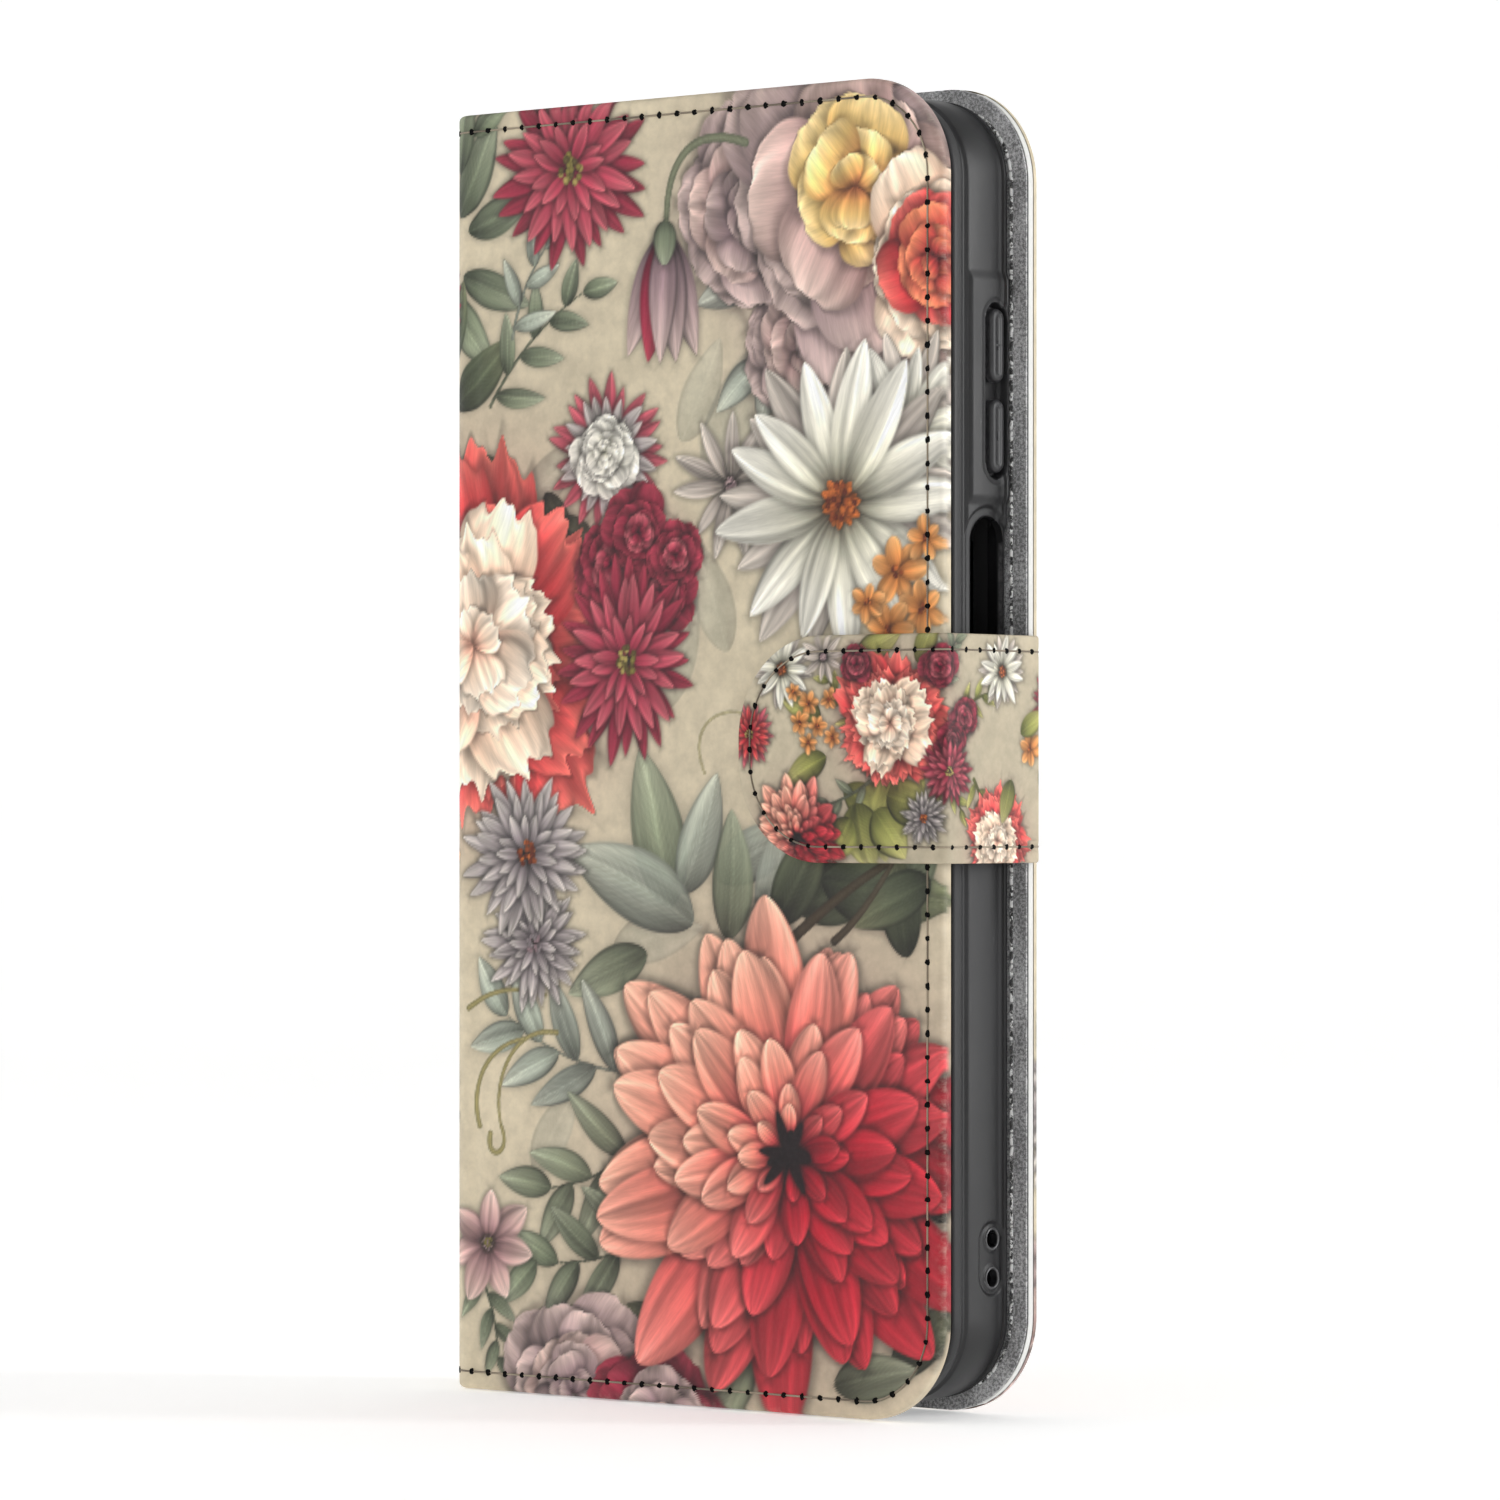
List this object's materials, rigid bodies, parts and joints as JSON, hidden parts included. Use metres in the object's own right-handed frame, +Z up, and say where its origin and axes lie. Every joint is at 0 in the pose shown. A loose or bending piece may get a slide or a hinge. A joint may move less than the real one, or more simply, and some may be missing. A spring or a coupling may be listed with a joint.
{
  "type": "wallet phone case",
  "caption": "Folding wallet phone case: printed cover and spine round a moulded phone shell, with card pockets, rubber side keys and a magnetic strap that folds over the free edge.",
  "frame": {"origin": "on the surface the closed case stands on, under the middle of its outline", "axes": "+X from the spine to the free edge, +Y from the front cover to the back cover, +Z up along the case's length"},
  "size_m": [0.0878, 0.0222, 0.174],
  "materials": {
    "printed_leather": "printed floral imitation leather, satin with a fine grain",
    "board": "raw white board and leather backing",
    "suede_lining": "grey suede-like microfibre, matt",
    "shell_rubber": "black moulded flexible plastic, satin",
    "thread": "waxed polyester thread",
    "adhesive": "clear-setting glue sheet",
    "pocket_leather": "thin grey-black imitation leather, matt",
    "magnet": "nickel-plated magnet"
  },
  "bodies": {
    "back": {"back_skin": "printed_leather", "back_board": "board", "back_lining": "suede_lining", "back_stitching": "thread", "lining_stitching": "thread", "strap_root": "pocket_leather", "shell_adhesive": "adhesive", "inner_shell": "shell_rubber"},
    "spine": {"spine_skin": "printed_leather", "spine_board": "board", "spine_lining": "suede_lining", "spine_stitching_bottom": "thread", "spine_stitching_top": "thread"},
    "front_cover": {"front_skin": "printed_leather", "front_board": "board", "front_magnet": "magnet", "front_lining": "suede_lining", "front_stitching": "thread", "cash_pocket": "pocket_leather", "card_pocket_top": "pocket_leather", "card_pocket_middle": "pocket_leather", "card_pocket_bottom": "pocket_leather", "pocket_stitching": "thread"},
    "strap_bridge": {"strap_bridge_lining": "suede_lining", "strap_bridge_skin": "printed_leather", "bridge_stitching_bottom": "thread", "bridge_stitching_top": "thread"},
    "strap_tab": {"strap_tab_lining": "suede_lining", "strap_tab_magnet": "magnet", "strap_tab_skin": "printed_leather", "strap_tab_stitching": "thread"},
    "volume_up": {"volume_up_key": "shell_rubber"},
    "volume_down": {"volume_down_key": "shell_rubber"}
  },
  "joints": [
    {"name": "spine_fold", "type": "hinge", "parent": "back", "child": "spine", "pos_m": [-0.04, 0.01117, 0], "axis": [0, 0, -1], "range_deg": [0, 178]},
    {"name": "cover_fold", "type": "hinge", "parent": "spine", "child": "front_cover", "pos_m": [-0.04, -0.00907, 0], "axis": [0, 0, -1], "range_deg": [0, 178]},
    {"name": "strap_base_fold", "type": "hinge", "parent": "back", "child": "strap_bridge", "pos_m": [0.0431, 0.00995, 0], "axis": [0, 0, 1], "range_deg": [0, 178]},
    {"name": "strap_tab_fold", "type": "hinge", "parent": "strap_bridge", "child": "strap_tab", "pos_m": [0.04235, -0.00927, 0], "axis": [0, 0, 1], "range_deg": [0, 90]},
    {"name": "volume_up_press", "type": "slide", "parent": "back", "child": "volume_up", "axis": [-1, 0, 0], "range_m": [0, 0.0005], "stiffness_N_per_m": 500},
    {"name": "volume_down_press", "type": "slide", "parent": "back", "child": "volume_down", "axis": [-1, 0, 0], "range_m": [0, 0.0005], "stiffness_N_per_m": 500}
  ]
}
